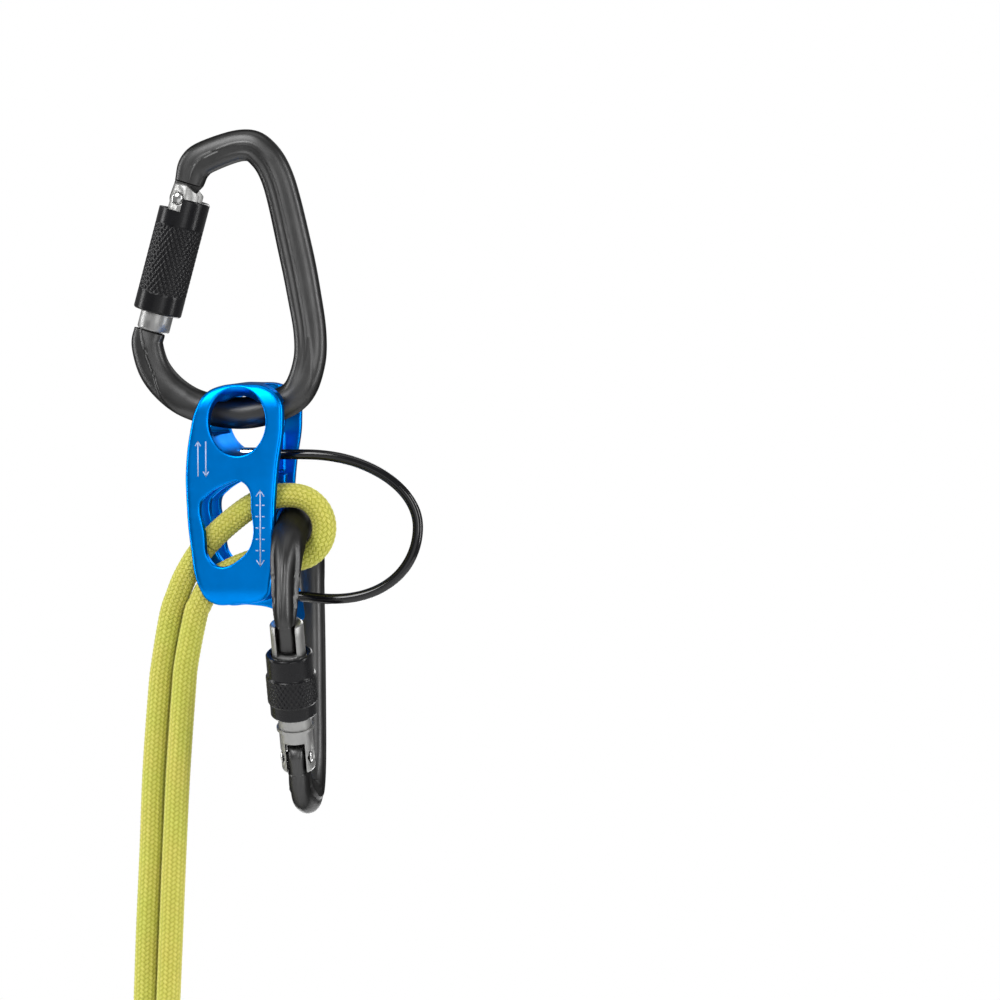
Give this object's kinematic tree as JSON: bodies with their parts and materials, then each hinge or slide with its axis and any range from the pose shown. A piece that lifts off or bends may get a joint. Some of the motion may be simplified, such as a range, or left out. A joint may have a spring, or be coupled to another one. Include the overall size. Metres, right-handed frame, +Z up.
{
  "type": "guide plate belay rig",
  "caption": "Anodised guide-mode belay plate hung on a twist-lock pear carabiner, with a rope bight held by a screw-gate carabiner and a cable keeper loop.",
  "frame": {"origin": "where the anchor carabiner hangs: the inside of its narrow end", "axes": "+Z up, +Y away from the viewer through the anchor carabiner's eye, +X towards the brake carabiner and the keeper loop"},
  "size_m": [0.1116, 0.0792, 0.3559],
  "materials": {
    "titanium": "satin dark anodised, forged",
    "gate": "matte tumbled",
    "steel": "polished",
    "sleeve": "matte black anodised, knurled",
    "blue": "satin anodised",
    "cable": "gloss",
    "rope": "braided",
    "cap": "satin heat-shrink"
  },
  "bodies": {
    "anchor_carabiner": {"anchor_carabiner_body": "titanium", "anchor_gate_rivet": "steel"},
    "anchor_gate": {"anchor_gate": "gate", "anchor_gate_plunger": "steel", "anchor_gate_spring": "steel", "anchor_sleeve_ring": "steel", "anchor_sleeve_spring": "steel"},
    "anchor_sleeve": {"anchor_sleeve": "sleeve"},
    "belay_plate": {"belay_plate": "blue", "keeper_sheath": "cable", "keeper_wire": "steel", "keeper_ferrule_upper": "steel", "keeper_ferrule_lower": "steel", "rope_climber_strand": "rope", "rope_brake_strand": "rope", "climber_rope_end": "cap", "brake_rope_end": "cap"},
    "brake_carabiner": {"brake_carabiner_body": "titanium", "brake_gate_rivet": "steel"},
    "brake_gate": {"brake_gate": "gate", "brake_gate_plunger": "steel", "brake_gate_spring": "steel", "sleeve_stop_ring": "steel"},
    "screw_sleeve": {"screw_sleeve": "sleeve"}
  },
  "joints": [
    {"name": "anchor_gate_open", "type": "hinge", "parent": "anchor_carabiner", "child": "anchor_gate", "pos_m": [-0.02303, 0, -0.01406], "axis": [0, -1, 0], "range_deg": [0, 28], "stiffness_Nm_per_rad": 0.15, "springref_deg": -17.19},
    {"name": "anchor_sleeve_twist", "type": "hinge", "parent": "anchor_gate", "child": "anchor_sleeve", "pos_m": [-0.0344, 0, -0.0633], "axis": [0.2635, 0, 0.9647], "range_deg": [0, 90], "stiffness_Nm_per_rad": 0.01, "springref_deg": -17.19},
    {"name": "plate_swing", "type": "hinge", "parent": "anchor_carabiner", "child": "belay_plate", "pos_m": [0, 0, -0.0941], "axis": [1, 0, 0], "range_deg": [-25, 25]},
    {"name": "brake_carabiner_swing", "type": "hinge", "parent": "belay_plate", "child": "brake_carabiner", "pos_m": [0.0212, -0.00765, -0.1361], "axis": [0.0827, -0.9478, -0.308], "range_deg": [0, 60]},
    {"name": "brake_gate_open", "type": "hinge", "parent": "brake_carabiner", "child": "brake_gate", "pos_m": [0.02391, -0.0139, -0.22068], "axis": [-0.9966, -0.0784, -0.0262], "range_deg": [0, 20], "stiffness_Nm_per_rad": 0.15, "springref_deg": -17.19},
    {"name": "screw_sleeve_travel", "type": "slide", "parent": "brake_gate", "child": "screw_sleeve", "axis": [-0.0023, 0.3425, -0.9395], "range_m": [0, 0.004]}
  ]
}
